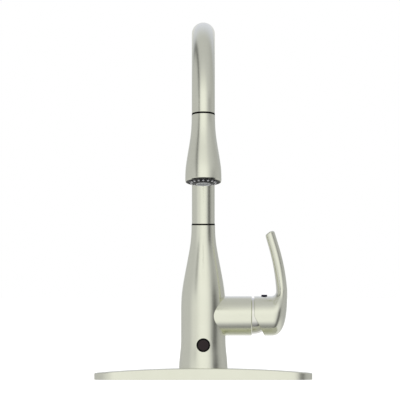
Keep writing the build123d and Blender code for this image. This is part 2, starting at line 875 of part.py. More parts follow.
def hose_nut():
    outline = Polyline(
        (inlet_spigot_radius, head_gap),
        (nut_radius, head_gap),
        (nut_radius, nut_cone - nut_length),
        (nut_top_radius, -nut_length),
        (hose_bore_radius, -nut_length),
        (hose_bore_radius, -inlet_spigot_length),
        (inlet_spigot_radius, -inlet_spigot_length),
        (inlet_spigot_radius, head_gap),
    )
    return head_frame * turned(outline)


def hose_ferrule():
    return head_frame * ring(ferrule_radius, hose_radius, -nut_length - ferrule_length, -nut_length)


def head_core():
    shelf = head_gap + head_wall
    core = rod(inlet_spigot_radius, -inlet_spigot_length, shelf + overrun)
    core += rod(core_radius, shelf, core_flange_start)
    core += rod(core_flange_radius, core_flange_start, face_bore_start)
    core -= rod(core_bore_radius, -inlet_spigot_length - overrun, core_bore_depth)
    spool_start = rocker_place - spool_length / 2 - spool_travel
    core -= Pos(0, -spool_offset, 0) * rod(spool_radius + running_gap, spool_start, core_flange_start)
    stream_end = face_bore_start + 1
    core -= Pos(0, -spool_offset, 0) * rod(channel_radius, core_bore_depth - channel_radius, stream_end)
    slot = Box(rocker_arm_width + 2 * rocker_gap, core_radius, 3 * spool_slot_height + spool_travel)
    core -= Pos(0, -spool_offset - core_radius / 2, rocker_place) * slot
    for side in (-1, 1):
        core -= Pos(side * spray_port_x, 0, 0) * rod(channel_radius, core_flange_start - overrun, stream_end)
    return head_frame * core


def check_valve():
    end = check_valve_start + check_valve_length
    housing = ring(core_bore_radius, check_seat_radius, check_valve_start, end)
    disc = Cylinder(check_disc_radius, check_disc_height)
    return head_frame * (housing + Pos(0, 0, (check_valve_start + end) / 2) * disc)


# Rocker and spool rest in the aerated-stream position, at one end of their travel
def mode_rocker():
    top = rocker_pin_inset + rocker_rise
    paddle = Box(rocker_width, rocker_thickness, rocker_length)
    paddle = fillet(paddle.edges().filter_by(Axis.Y), rocker_corner)
    paddle = Rot(rocker_slope, 0, 0) * Pos(0, rocker_thickness / 2 - top, 0) * paddle & rocker_sweep(0)
    hub = Rot(0, 90, 0) * Cylinder(rocker_hub_radius, rocker_width - 2 * rocker_hub_inset)
    web = Pos(0, -top / 2, 0) * Box(rocker_width - 2 * rocker_hub_inset, top, 2 * rocker_hub_radius)
    tip = rocker_tip_y - rocker_pin_y
    arm = Pos(0, tip / 2, 0) * Box(rocker_arm_width, tip, rocker_arm_height)
    nose = rod(rocker_tip_radius, -rocker_arm_width / 2, rocker_arm_width / 2)
    nose = Pos(0, tip, 0) * Rot(0, 90, 0) * nose
    rocker = paddle + hub + web + arm + nose
    rocker -= Rot(0, 90, 0) * rod(rocker_pin_radius + running_gap, -rocker_width, rocker_width)
    return head_frame * rocker_axis() * Rot(-rocker_swing, 0, 0) * rocker


def rocker_pin():
    half = rocker_pin_length / 2
    return head_frame * rocker_axis() * Rot(0, 90, 0) * rod(rocker_pin_radius, -half, half)


def diverter_spool():
    spool = rod(spool_radius, -spool_length / 2, spool_length / 2)
    spool -= ring(spool_radius + overrun, spool_neck_radius, -spool_slot_height / 2, spool_slot_height / 2)
    return head_frame * Pos(0, -spool_offset, rocker_place - spool_travel / 2) * spool


# Spray face: a black dome with a ring of nozzles round the aerator
def face_dome():
    flat = face_bore_radius - running_gap - face_flat_width
    edge = head_length - face_edge
    return ThreePointArc(
        (flat, edge),
        ((flat + aerator_radius) / 2, edge + face_dome_bulge * face_dome_rise),
        (aerator_radius, edge + face_dome_rise),
    )


def face_plate():
    outer = face_bore_radius - running_gap
    edge = head_length - face_edge
    crest = edge + face_dome_rise
    back = mat_start + mat_height
    body = turned(
        Polyline((0, back), (outer, back), (outer, edge), (outer - face_flat_width, edge)),
        face_dome(),
        Polyline((aerator_radius, crest), (0, crest), (0, back)),
    )
    body += ring(outer, outer - face_skirt_wall, face_bore_start, back)
    body -= rod(aerator_radius + running_gap, mat_start, crest + overrun)
    return head_frame * (body - nozzle_tips(nozzle_radius + running_gap))


# The soft nozzles have eight sides and stand through holes of the same form
def nozzle_tips(radius):
    end = head_length - face_edge + nozzle_share * face_dome_rise + nozzle_rise
    places = PolarLocations(nozzle_circle_radius, nozzle_count)
    tips = [place * RegularPolygon(radius, nozzle_sides) for place in places]
    return Pos(0, 0, mat_start) * extrude(Sketch() + tips, end - mat_start)


def nozzle_mat():
    outer = face_bore_radius - face_skirt_wall - 2 * running_gap
    mat = ring(outer, aerator_radius + seat_gap, mat_start, mat_start + mat_height)
    return head_frame * (mat + nozzle_tips(nozzle_radius))


def aerator_housing():
    end = head_length - face_edge + face_dome_rise + aerator_rise
    housing = ring(aerator_radius, aerator_radius - aerator_wall, face_bore_start, end)
    return head_frame * chamfer(housing.faces().sort_by(Axis.Z)[-1].edges(), aerator_bevel)


def aerator_screen():
    end = head_length - face_edge + face_dome_rise + aerator_rise - screen_recess
    return head_frame * rod(aerator_radius - aerator_wall, end - screen_height, end)


parts = {
    "deck_plate": deck_plate(),
    "plate_tray": plate_tray(),
    "plate_gasket": plate_gasket(),
    "body_shell": body_shell(),
    "body_gasket": body_gasket(),
    "mounting_shank": mounting_shank(),
    "valve_body": valve_body(),
    "port_seals": port_seals(),
    "cartridge_base": cartridge_base(),
    "cartridge_housing": cartridge_housing(),
    "fixed_disc": fixed_disc(),
    "moving_disc": moving_disc(),
    "disc_carrier": disc_carrier(),
    "cartridge_rotor": cartridge_rotor(),
    "stem_pin": stem_pin(),
    "cartridge_stem": cartridge_stem(),
    "cartridge_nut": cartridge_nut(),
    "bonnet": bonnet(),
    "handle_lever": handle_lever(),
    "handle_screw": handle_screw(),
    "indicator_cold": indicator_half(-1),
    "indicator_hot": indicator_half(1),
    "sensor_bezel": sensor_bezel(),
    "sensor_window": sensor_window(),
    "sensor_seal": sensor_seal(),
    "sensor_nut": sensor_nut(),
    "sensor_board": sensor_board(),
    "sensor_leds": sensor_leds(),
    "sensor_cap": sensor_cap(),
    "swivel_bush": swivel_bush(),
    "glide_ring": glide_ring(),
    "catch_screw": catch_screw(),
    "lower_hose": lower_hose(),
    "spout_tube": spout_tube(),
    "spout_spigot": spout_spigot(),
    "spout_seals": spout_seals(),
    "dock_sleeve": dock_sleeve(),
    "spray_hose": spray_hose(),
    "spray_shell": spray_shell(),
    "hose_nut": hose_nut(),
    "hose_ferrule": hose_ferrule(),
    "head_core": head_core(),
    "check_valve": check_valve(),
    "face_plate": face_plate(),
    "nozzle_mat": nozzle_mat(),
    "aerator_housing": aerator_housing(),
    "aerator_screen": aerator_screen(),
    "mode_rocker": mode_rocker(),
    "rocker_pin": rocker_pin(),
    "diverter_spool": diverter_spool(),
}

os.makedirs("parts", exist_ok=True)
for name, shape in parts.items():
    export_step(shape, f"parts/{name}.step")
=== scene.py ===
import json
import math

import bmesh
import bpy
import numpy as np
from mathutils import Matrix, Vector


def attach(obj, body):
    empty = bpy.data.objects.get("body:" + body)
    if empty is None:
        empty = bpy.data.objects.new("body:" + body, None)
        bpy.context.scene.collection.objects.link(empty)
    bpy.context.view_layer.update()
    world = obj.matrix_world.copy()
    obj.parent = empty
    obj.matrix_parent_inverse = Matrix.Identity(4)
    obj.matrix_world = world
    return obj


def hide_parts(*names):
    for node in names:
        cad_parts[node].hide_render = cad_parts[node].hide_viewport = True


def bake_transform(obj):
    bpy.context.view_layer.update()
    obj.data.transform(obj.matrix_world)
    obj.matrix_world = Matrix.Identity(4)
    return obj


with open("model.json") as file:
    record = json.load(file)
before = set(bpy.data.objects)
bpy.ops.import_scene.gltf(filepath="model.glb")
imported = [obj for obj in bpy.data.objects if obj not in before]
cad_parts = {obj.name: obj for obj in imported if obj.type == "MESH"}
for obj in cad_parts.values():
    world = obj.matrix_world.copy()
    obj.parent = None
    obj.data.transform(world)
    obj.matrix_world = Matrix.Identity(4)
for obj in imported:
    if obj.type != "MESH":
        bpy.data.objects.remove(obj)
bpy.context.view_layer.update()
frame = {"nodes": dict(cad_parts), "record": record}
nodes = frame["nodes"]
print("frame loaded:", len(nodes), "nodes")


# One output socket of a node tree. Arithmetic on it adds Math nodes to the tree
class Wire:
    def __init__(self, tree, socket=None):
        self.tree = tree
        self.socket = socket

    # adds any node: its settings first, then the values or wires of its sockets, by name or number
    def node(self, kind, settings=None, values=None, output=0):
        made = self.tree.nodes.new("ShaderNode" + kind)
        for name, value in (settings or {}).items():
            if name == "stops":
                fillRamp(made.color_ramp, value)
            else:
                setattr(made, name, value)
        for key, value in (values or {}).items():
            if isinstance(value, Wire):
                self.tree.links.new(value.socket, made.inputs[key])
            else:
                made.inputs[key].default_value = value
        return Wire(self.tree, made.outputs[output] if made.outputs else None)

    # another output of the same node
    def out(self, name): return Wire(self.tree, self.socket.node.outputs[name])

    def calculate(self, operation, first, second=0.0):
        return self.node("Math", {"operation": operation}, {0: first, 1: second})

    def __add__(self, other): return self.calculate("ADD", self, other)
    def __radd__(self, other): return self.calculate("ADD", other, self)
    def __sub__(self, other): return self.calculate("SUBTRACT", self, other)
    def __rsub__(self, other): return self.calculate("SUBTRACT", other, self)
    def __mul__(self, other): return self.calculate("MULTIPLY", self, other)
    def __rmul__(self, other): return self.calculate("MULTIPLY", other, self)
    def __neg__(self): return self.calculate("MULTIPLY", self, -1.0)

    # smooth step from 0 at low to 1 at high
    def rise(self, low, high):
        values = {"Value": self, "From Min": low, "From Max": high}
        return self.node("MapRange", {"interpolation_type": "SMOOTHSTEP"}, values)

    # bell curve of height 1 about a middle: e to the minus square of the distance over the width
    def bell(self, middle, width):
        share = (self - middle) * (1 / width)
        return self.calculate("EXPONENT", -(share * share))

    def clamp(self): return self.node("Clamp", None, {0: self})
    def sine(self): return self.calculate("SINE", self)
    def larger(self, other): return self.calculate("MAXIMUM", self, other)

    # a value between 0 and 1 chooses between two colours
    def mix(self, first, second):
        return self.node("Mix", {"data_type": "RGBA"}, {0: self, 6: first, 7: second}, 2)

    def vector(self, operation, other):
        return self.node("VectorMath", {"operation": operation}, {0: self, 1: other})

    # length of the vector along a direction
    def along(self, direction):
        return self.vector("DOT_PRODUCT", direction).out("Value")

    def scaled(self, amount):
        return self.node("VectorMath", {"operation": "SCALE"}, {0: self, "Scale": amount})

    # the X, Y and Z of a vector
    def split(self):
        parts = self.node("SeparateXYZ", None, {0: self})
        return parts.out("X"), parts.out("Y"), parts.out("Z")

    def noise(self, scale, detail=2.0, roughness=0.5):
        values = {"Vector": self, "Scale": scale, "Detail": detail, "Roughness": roughness}
        return self.node("TexNoise", None, values)


# Sets a colour ramp's stops, each a (place, colour)
def fillRamp(ramp, stops):
    while len(ramp.elements) < len(stops):
        ramp.elements.new(0.5)
    for element, (place, colour) in zip(ramp.elements, stops):
        element.position = place
        element.color = colour


# An empty node material, and a wire to start its nodes from
def startMaterial(name):
    material = bpy.data.materials.new(name)
    material.use_nodes = True
    tree = material.node_tree
    tree.nodes.clear()
    return material, Wire(tree)


# Ends a material in one Principled shader
def finishMaterial(start, sockets):
    surface = start.node("BsdfPrincipled", None, sockets)
    start.node("OutputMaterial", None, {"Surface": surface})


# A colour with full alpha
def rgba(colour): return (*colour, 1.0)


# Noise stays near its middle, so this part of its range runs from the dark colour to the light one
noiseRange = (0.3, 0.7)


# A colour between dark and light by the noise
def shaded(noise, dark, light): return noise.rise(*noiseRange).mix(rgba(dark), rgba(light))


# A value that noise moves by up to the spread either way
def varied(value, spread, noise): return value + (noise - 0.5) * (2 * spread)


# A bump from a height between 0 and 1, which stands for a depth in metres
def bumped(height, strength, depth):
    return height.node("Bump", None, {"Height": height, "Strength": strength, "Distance": depth})


# The line of the spout: straight up, round a bend in the plane of Y and Z, and down a short leg that leans.
# The head docks at its end, the seam
bend = {"radius": 0.1, "centreY": -0.1, "centreZ": 0.3073, "lean": math.radians(12.7), "leg": 0.0175}
headDown = (0.0, -math.sin(bend["lean"]), -math.cos(bend["lean"]))
seam = (0.0, bend["centreY"] - bend["radius"] * math.cos(bend["lean"]) + headDown[1] * bend["leg"],
        bend["centreZ"] + bend["radius"] * math.sin(bend["lean"]) + headDown[2] * bend["leg"])

nickel = {
    "light": (0.835, 0.845, 0.710),
    "dark": (0.805, 0.815, 0.680),
    "roughness": 0.22,
    "roughnessSpread": 0.05,
    "grainAcross": 2600.0,  # brush lines per metre across the brushing
    "grainAlong": 60.0,  # and along it
    "grainBump": 0.35,
    "grainDepth": 0.00002,
    "clouds": 35.0,  # per metre
}


# Brush lines of a turned part: the place is stretched along the axis, so that noise runs round it in rings
def turnedGrain(place, axis):
    stretch = place.along(axis) * (nickel["grainAcross"] - nickel["grainAlong"])
    across = place.node("CombineXYZ", None, {0: axis[0], 1: axis[1], 2: axis[2]}).scaled(stretch)
    return place.scaled(nickel["grainAlong"]).vector("ADD", across)


# The same round the spout, where the way along is the angle about the bend's centre times the bend's radius
def spoutGrain(place):
    x, y, z = place.split()
    fromY = y - bend["centreY"]
    fromZ = z - bend["centreZ"]
    angle = place.calculate("ARCTAN2", fromZ, fromY)
    reach = place.calculate("POWER", fromY * fromY + fromZ * fromZ, 0.5)
    along = angle * (bend["radius"] * nickel["grainAcross"])
    values = {0: x * nickel["grainAlong"], 1: reach * nickel["grainAlong"], 2: along}
    return place.node("CombineXYZ", None, values)


# Satin nickel: brush lines and soft clouds together vary the colour, and the lines the gloss and the bump
def satinNickel(name, grainOf, rougher=0.0):
    material, start = startMaterial(name)
    place = start.node("TexCoord").out("Object")
    grain = grainOf(place).noise(1.0, detail=3.0, roughness=0.6)
    cloud = place.noise(nickel["clouds"], detail=3.0)
    colour = shaded(grain * 0.5 + cloud * 0.5, nickel["dark"], nickel["light"])
    roughness = varied(nickel["roughness"] + rougher, nickel["roughnessSpread"], grain)
    bump = bumped(grain, nickel["grainBump"], nickel["grainDepth"])
    finishMaterial(start, {"Base Color": colour, "Metallic": 1.0, "Roughness": roughness, "Normal": bump})
    return material


machined = {
    "lines": 1800.0,  # radians of the turning lines' wave per metre
    "lineBump": 0.2,
    "lineDepth": 0.00002,
    "clouds": 120.0,  # per metre
    "roughnessSpread": 0.06,
}


# Machined metal: turning lines as a sine of the height for the bump, and clouds in the colour and the gloss
def machinedMetal(name, light, dark, roughness):
    material, start = startMaterial(name)
    place = start.node("TexCoord").out("Object")
    groove = (place.along((0, 0, 1)) * machined["lines"]).sine() * 0.5 + 0.5
    cloud = place.noise(machined["clouds"], detail=4.0)
    colour = shaded(cloud, dark, light)
    gloss = varied(roughness, machined["roughnessSpread"], cloud)
    bump = bumped(groove, machined["lineBump"], machined["lineDepth"])
    finishMaterial(start, {"Base Color": colour, "Metallic": 1.0, "Roughness": gloss, "Normal": bump})
    return material


plastic = {
    "grain": 2500.0,  # of the fine texture, per metre
    "grainBump": 0.4,
    "grainDepth": 0.00003,
    "grainShare": 0.3,  # of the grain in the colour, beside the clouds
    "clouds": 90.0,
    "roughnessSpread": 0.075,
}


# Moulded plastic, rubber or ceramic: a fine eroded grain makes the bump, clouds vary the gloss, and both vary
# the colour
def moulded(name, light, dark, roughness, specular=0.5, grain=plastic["grain"]):
    material, start = startMaterial(name)
    place = start.node("TexCoord").out("Object")
    fine = place.noise(grain, roughness=0.6)
    cloud = place.noise(plastic["clouds"], detail=3.0)
    colour = shaded(cloud * (1 - plastic["grainShare"]) + fine * plastic["grainShare"], dark, light)
    gloss = varied(roughness, plastic["roughnessSpread"], cloud)
    bump = bumped(fine, plastic["grainBump"], plastic["grainDepth"])
    sockets = {"Base Color": colour, "Roughness": gloss, "Normal": bump, "Specular IOR Level": specular}
    finishMaterial(start, sockets)
    return material


braid = {
    "strands": 16,  # strands each way round the hose
    "pitch": 0.00255,  # length of hose that one strand covers
    "relief": 0.00022,  # height of the strands
    "under": 0.4,  # share of it that a strand keeps where another crosses over it
    "soft": 0.2,  # how softly one strand passes into the next
    "lines": 5.0,  # threads in a strand
    "lineBump": 0.5,
    "lineDepth": 0.00006,
    "fuzz": 900.0,  # loose fibres
    "dark": (0.035, 0.036, 0.038),
    "light": (0.16, 0.165, 0.17),
    "overShade": 0.45, "paintedGrooveShade": 0.12, "fuzzShade": 0.4,  # how much of each is in the colour; the threads' part is painted shade, darker in the grooves between threads
    "roughness": 0.5, "roughnessSpread": 0.1,
}


# Braid on the hose's own map, u in turns and v in metres: strands run up both ways, dark and light by turns,
# and each has fine threads along it, bumped and painted darker in the grooves between them as shade
def braidMaterial(name):
    material, start = startMaterial(name)
    place = start.node("TexCoord").out("UV")
    u, v = place.split()[:2]
    turn = u * (math.pi * braid["strands"])
    climb = v * (math.pi / braid["pitch"])
    first = turn + climb
    second = turn - climb
    over = (first.sine() * second.sine()).rise(-braid["soft"], braid["soft"])
    threads = (first * braid["lines"]).sine() * over + (second * braid["lines"]).sine() * (1.0 - over)
    fuzz = place.noise(braid["fuzz"])
    # The threads' part of this colour is painted shade: darker where their bump is low, in the grooves between
    # threads
    toneAndGrooveShade = over * braid["overShade"] + threads * braid["paintedGrooveShade"] + fuzz * braid["fuzzShade"]
    colour = toneAndGrooveShade.clamp().mix(rgba(braid["dark"]), rgba(braid["light"]))
    gloss = varied(braid["roughness"], braid["roughnessSpread"], fuzz)
    bump = bumped(threads, braid["lineBump"], braid["lineDepth"])
    finishMaterial(start, {"Base Color": colour, "Roughness": gloss, "Normal": bump})
    return material


# Finishes by the record's slots: light and dark colour, roughness, then specular and grain where they differ
materials = {
    "black_plastic": moulded("blackPlastic", (0.010, 0.010, 0.011), (0.005, 0.005, 0.006), 0.45, 0.25),
    "face_plastic": moulded("faceBlack", (0.008, 0.008, 0.009), (0.004, 0.004, 0.005), 0.36, 0.18),
    "grey_plastic": moulded("greyPlastic", (0.50, 0.51, 0.51), (0.42, 0.43, 0.43), 0.45),
    "black_rubber": moulded("blackRubber", (0.03, 0.03, 0.03), (0.02, 0.02, 0.02), 0.7),
    "grey_silicone": moulded("greySilicone", (0.56, 0.56, 0.57), (0.47, 0.47, 0.48), 0.5),
    "white_ceramic": moulded("whiteCeramic", (0.86, 0.86, 0.83), (0.80, 0.80, 0.77), 0.18),
    "dark_glass": moulded("darkWindow", (0.020, 0.011, 0.012), (0.014, 0.008, 0.009), 0.10, 0.22),
    "circuit_board": moulded("circuitBoard", (0.04, 0.22, 0.09), (0.02, 0.13, 0.05), 0.35, 0.5, 900.0),
    "lamp_lens": moulded("lampLens", (0.48, 0.42, 0.58), (0.38, 0.32, 0.48), 0.1),
    "hose_cover": braidMaterial("hoseBraid"),
    "cold_blue": moulded("coldBlue", (0.0012, 0.002, 0.022), (0.0008, 0.001, 0.014), 0.4, 0.10),
    "hot_red": moulded("hotRed", (0.50, 0.02, 0.02), (0.36, 0.01, 0.01), 0.3),
    "brass": machinedMetal("turnedBrass", (0.74, 0.57, 0.30), (0.66, 0.50, 0.26), 0.3),
    "steel": machinedMetal("turnedSteel", (0.58, 0.59, 0.60), (0.50, 0.51, 0.52), 0.28),
    "polished_nickel": machinedMetal("polishedNickel", (0.82, 0.82, 0.74), (0.79, 0.79, 0.71), 0.12),
}
# Nodes with a finish of their own, where the brushing or the gloss is theirs alone
ownLook = {
    "deck_plate": satinNickel("nickelPlate", lambda place: turnedGrain(place, (0, 1, 0)), 0.10),
    "body_shell": satinNickel("nickelBody", lambda place: turnedGrain(place, (0, 0, 1))),
    "spout_tube": satinNickel("nickelSpout", spoutGrain),
    "spray_shell": satinNickel("nickelHead", lambda place: turnedGrain(place, headDown)),
    "handle_lever": satinNickel("nickelHandle", lambda place: turnedGrain(place, (1, 0, 0))),
    "sensor_bezel": moulded("eyeRim", (0.004, 0.004, 0.004), (0.002, 0.002, 0.002), 0.5, 0.06),
    "glide_ring": moulded("neckRing", (0.004, 0.004, 0.004), (0.002, 0.002, 0.002), 0.5, 0.03),
    "dock_sleeve": moulded("dockRing", (0.004, 0.004, 0.004), (0.002, 0.002, 0.002), 0.5, 0.02),
}
for part in frame["record"]["subparts"]:
    name = part["node"]
    nodes[name].data.materials.clear()
    nodes[name].data.materials.append(ownLook.get(name) or materials[part["material_slot"]])
print("materials on all nodes")


# Faces of a grid of points that closes round on itself: each joins two neighbours in a row and the two above
def gridFaces(rows, columns, first):
    row, column = np.meshgrid(np.arange(rows - 1), np.arange(columns), indexing="ij")
    beside = (column + 1) % columns
    corners = [row * columns + column, row * columns + beside,
               (row + 1) * columns + beside, (row + 1) * columns + column]
    return first + np.stack([corner.ravel() for corner in corners], axis=1)


# Gives each face corner its (turns, metres). A face across the line where the turns start again counts on
def addMap(mesh, corners):
    turns = corners[:, 0].reshape(-1, 4)
    wraps = (turns.max(axis=1) - turns.min(axis=1) > 0.5)[:, None]
    corners[:, 0] = np.where(wraps & (turns < 0.5), turns + 1.0, turns).ravel()
    mesh.uv_layers.new(name="hoseMap").data.foreach_set("uv", corners.ravel().astype(np.float32))


meshing = {"merge": 0.000001, "sharp": math.radians(50)}  # distance of points, angle of faces


# One piece from any number of such grids, with a map for each where the look needs one. Points that lie on
# each other, as at a pole, are merged, and edges that bend by more than the sharp angle stay sharp
def makePiece(name, body, slot, grids, maps=None, look=None):
    first = 0
    faces = []
    for grid in grids:
        rows, columns = grid.shape[:2]
        faces.append(gridFaces(rows, columns, first))
        first += rows * columns
    faces = np.concatenate(faces)
    points = np.concatenate([grid.reshape(-1, 3) for grid in grids])
    mesh = bpy.data.meshes.new(name)
    mesh.from_pydata(points.tolist(), [], faces.tolist())
    if maps:
        addMap(mesh, np.concatenate([one.reshape(-1, 2) for one in maps])[faces.ravel()])
    merged = bmesh.new()
    merged.from_mesh(mesh)
    bmesh.ops.remove_doubles(merged, verts=merged.verts, dist=meshing["merge"])
    merged.to_mesh(mesh)
    merged.free()
    mesh.polygons.foreach_set("use_smooth", np.ones(len(mesh.polygons), bool))
    mesh.set_sharp_from_angle(angle=meshing["sharp"])
    mesh.materials.append(look or materials[slot])
    mesh.update()
    piece = bpy.data.objects.new(name, mesh)
    bpy.context.scene.collection.objects.link(piece)
    if body:
        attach(piece, body)
    return piece


# 0 up to the first limit, 1 from the second on, and a smooth step between them
def ease(value, first, second):
    share = np.clip((value - first) / (second - first), 0, 1)
    return share * share * (3 - 2 * share)


# Points of the unit circle: cosine and sine of the turns
def circle(turns): return np.stack([np.cos(2 * np.pi * turns), np.sin(2 * np.pi * turns)], axis=-1)


# A surface about the Z axis by rows of height, whose radius may change round the axis too
def turnedSurface(radius, height, columns):
    flat = radius[:, :, None] * circle(np.arange(columns) / columns)
    return np.concatenate([flat, np.repeat(height[:, None, None], columns, axis=1)], axis=-1)


# A profile of (radius, height) carried once round the Z axis
def lathe(profile, columns):
    profile = np.asarray(profile)
    return turnedSurface(profile[:, :1], profile[:, 1], columns)


# A tube: from each point of its middle line, the radius times the turn's cosine along X, and times its sine
# along the outward direction
def tube(middle, outward, radius, turns):
    spin = circle(turns)
    across = spin[:, :1] * np.array([1.0, 0.0, 0.0]) + spin[:, 1:] * outward[:, None, :]
    return middle[:, None, :] + radius[:, :, None] * across


# The map of a tube: the turns round it and the metres along it
def tubeMap(turns, metres): return np.stack(np.broadcast_arrays(turns[None, :], metres[:, None]), axis=-1)


# Points of the head's own frame, whose Z axis runs down the leaning head from the seam
def onHead(points):
    lean = bend["lean"]
    x, y, z = points[..., 0], points[..., 1], points[..., 2]
    worldY = seam[1] - y * math.cos(lean) - z * math.sin(lean)
    worldZ = seam[2] + y * math.sin(lean) - z * math.cos(lean)
    return np.stack([x, worldY, worldZ], axis=-1)


# The lengths of a profile or a surface in metres
def fromMillimetres(points): return np.asarray(points) / 1000


hose = {
    "radius": 0.0065,
    "start": 0.141,  # height at which it is joined to the lower hose
    "pull": 0.2,  # how far the head comes out
    "nut": 0.014,  # length of the nut that hides its end
    "slack": 0.024,  # length of the bend that is drawn out with the leg
    "still": 0.03,  # length of the lower piece above that
    "overlap": 0.004,  # of the upper piece over the lower one
    "upperRows": 150, "upperColumns": 32,
    "rows": 520, "columns": 96,
    "samples": 4000,  # of the line, for spacing the rows
}


# Middle line of the spray hose by the length along it: straight up, round the bend, then straight down the
# leg. Gives its points, and at each the direction away from the bend's centre
def hoseLine(length):
    rise = bend["centreZ"] - hose["start"]
    sweep = math.pi - bend["lean"]
    angle = np.clip((length - rise) / bend["radius"], 0, sweep)
    beyond = np.maximum(length - rise - sweep * bend["radius"], 0)
    before = np.minimum(length - rise, 0)
    y = bend["centreY"] + bend["radius"] * np.cos(angle) - beyond * math.sin(bend["lean"])
    z = bend["centreZ"] + bend["radius"] * np.sin(angle) + before - beyond * math.cos(bend["lean"])
    middle = np.stack([0 * y, y, z], axis=-1)
    outward = np.stack([0 * y, np.cos(angle), np.sin(angle)], axis=-1)
    return middle, outward


# Height of the braid between 0 and 1, for columns of turns and rows of length: two families of strands, each
# the size of a sine, whose crossings lie over and under by turns
def braidRelief(turns, length):
    turn = turns[None, :] * braid["strands"] * np.pi
    climb = length[:, None] * np.pi / braid["pitch"]
    first, second = turn + climb, turn - climb
    firstOver = (np.floor(first / np.pi) + np.floor(second / np.pi)) % 2 == 0
    firstHeight = np.abs(np.sin(first)) * np.where(firstOver, 1.0, braid["under"])
    secondHeight = np.abs(np.sin(second)) * np.where(firstOver, braid["under"], 1.0)
    return np.maximum(firstHeight, secondHeight)


# A tube about the hose's middle line, with its map. The braid is cut into its radius, which drops to nothing
# at both ends
def hoseTube(length, mapped, columns, relief):
    turns = np.arange(columns) / columns
    length = np.concatenate([length[:1], length, length[-1:]])
    mapped = np.concatenate([mapped[:1], mapped, mapped[-1:]])
    radius = hose["radius"] - relief * (1 - braidRelief(turns, mapped))
    radius[[0, -1]] = 0
    return tube(*hoseLine(length), radius, turns), tubeMap(turns, mapped)


# The hose in two pieces: the upper one stays in the spout, and the lower one, the length that the head draws
# out, is attached to no body. The rows of the lower one, and its braid, are spaced so that they are even when
# the head is right out
def sprayHose():
    bendLength = (math.pi - bend["lean"]) * bend["radius"]
    total = bend["centreZ"] - hose["start"] + bendLength + bend["leg"] - hose["nut"]
    drawFrom = total + hose["nut"] - bend["leg"] - hose["slack"]
    split = drawFrom - hose["still"]
    upperLength = np.linspace(0, split + hose["overlap"], hose["upperRows"])
    upperMapped = np.linspace(0, split, hose["upperRows"])
    upper, upperMap = hoseTube(upperLength, upperMapped, hose["upperColumns"], 0.0)
    start, end = hoseLine(np.array([drawFrom, total]))[0]
    fine = np.linspace(split, total, hose["samples"])
    share = (hoseLine(fine)[0] - start) @ (end - start) / ((end - start) @ (end - start))
    drawn = fine + hose["pull"] * ease(share, 0, 1)
    even = np.linspace(drawn[0], drawn[-1], hose["rows"])
    lower, lowerMap = hoseTube(np.interp(even, drawn, fine), even, hose["columns"], braid["relief"])
    rest = makePiece("sprayHoseRise", "spout", "hose_cover", [upper], [upperMap])
    drop = makePiece("sprayHoseDrop", None, "hose_cover", [lower], [lowerMap])
    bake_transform(drop)
    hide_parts("spray_hose")


sprayHose()
print("spray hose ready")


lowerHose = {
    "top": 0.141, "bottom": -0.057,
    "leave": 0.131, "arrive": 0.098,  # heights between which it moves over from the axis
    "exit": (-0.0073, 0.0008),  # to here
    "wall": 0.0025,
    "opening": 0.012,  # depth of the bore that is modelled
    "chamfer": 0.0006, "boreChamfer": (0.0003, 0.0002),  # the second one outwards and upwards
    "rows": 260, "columns": 48,
}


# The hose from the neck down through the shank: its middle moves over on a smooth step, and its lower end
# shows the wall and the bore
def lowerHosePiece():
    turns = np.arange(lowerHose["columns"]) / lowerHose["columns"]
    bottom, chamfer = lowerHose["bottom"], lowerHose["chamfer"]
    bore = hose["radius"] - lowerHose["wall"]
    chamferOut, chamferUp = lowerHose["boreChamfer"]
    inside = np.array([(0.0, bottom + lowerHose["opening"]), (bore, bottom + lowerHose["opening"]),
                       (bore, bottom + chamferUp), (bore + chamferOut, bottom),
                       (hose["radius"] - chamfer, bottom)])
    outside = np.linspace(bottom + chamfer, lowerHose["top"], lowerHose["rows"])
    outside = np.append(outside, outside[-1])
    radius = hose["radius"] - braid["relief"] * (1 - braidRelief(turns, outside))
    radius[-1] = 0
    radius = np.concatenate([np.repeat(inside[:, :1], len(turns), axis=1), radius])
    height = np.concatenate([inside[:, 1], outside])
    share = ease(height, lowerHose["leave"], lowerHose["arrive"])
    middle = np.stack([share * lowerHose["exit"][0], share * lowerHose["exit"][1], height], axis=-1)
    outward = np.repeat([[0.0, 1.0, 0.0]], len(height), axis=0)
    points = tube(middle, outward, radius, turns)
    piece = makePiece("lowerHose", "base", "hose_cover", [points], [tubeMap(turns, height)])
    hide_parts("lower_hose")


lowerHosePiece()
print("lower hose ready")


shank = {
    "radius": 0.0165, "bore": 0.0145,
    "bottom": -0.057, "threadTop": -0.001, "reliefTop": 0.003, "top": 0.0239,
    "relief": 0.0005,  # depth of the plain neck above the thread
    "chamfer": 0.0008,
    "pitch": 0.0015, "depth": 0.0007,
    "grooveFloor": 0.125, "grooveEdge": 0.375,  # half the groove's width at floor and edge, in pitches
    "runOut": 0.0012,  # over which the thread fades at both ends
    "rowsPerPitch": 8, "columns": 72,
}


